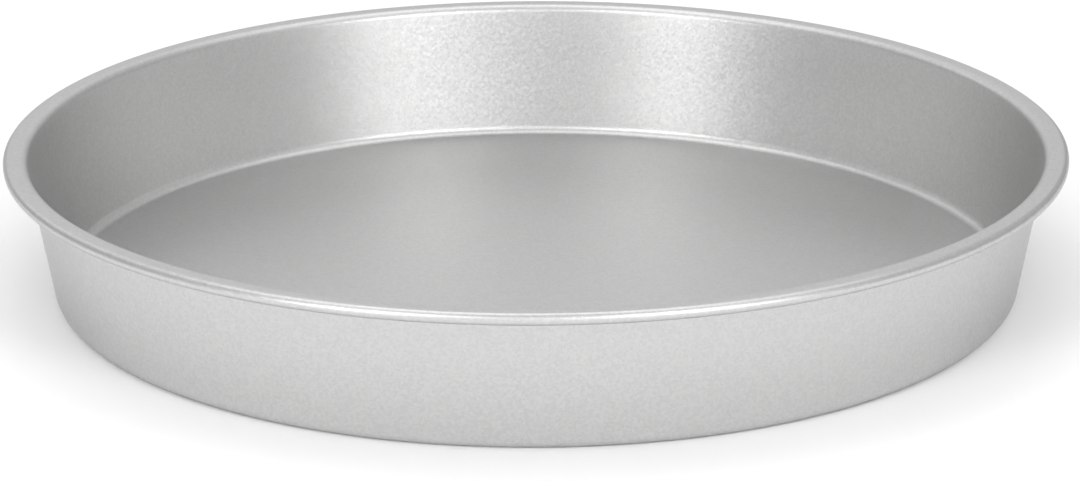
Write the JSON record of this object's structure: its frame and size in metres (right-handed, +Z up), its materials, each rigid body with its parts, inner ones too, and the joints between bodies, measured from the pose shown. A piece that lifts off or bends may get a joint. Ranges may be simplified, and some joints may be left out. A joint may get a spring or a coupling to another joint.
{
  "type": "cake pan",
  "caption": "Round shallow cake pan of silver-coated sheet steel, with a plain leaning wall, a flat floor and a flat flange curled over a wire at its edge.",
  "frame": {"origin": "on the table, under the middle of the pan", "axes": "+Z up, along the pan's round axis, out of the mouth"},
  "size_m": [0.2928, 0.2928, 0.04],
  "materials": {
    "silver_coat": "silver non-stick coat with a fine metallic grain, satin",
    "bare_wire": "drawn steel wire, bare"
  },
  "bodies": {
    "root": {"pan_shell": "silver_coat", "rim_wire": "bare_wire"}
  },
  "joints": []
}
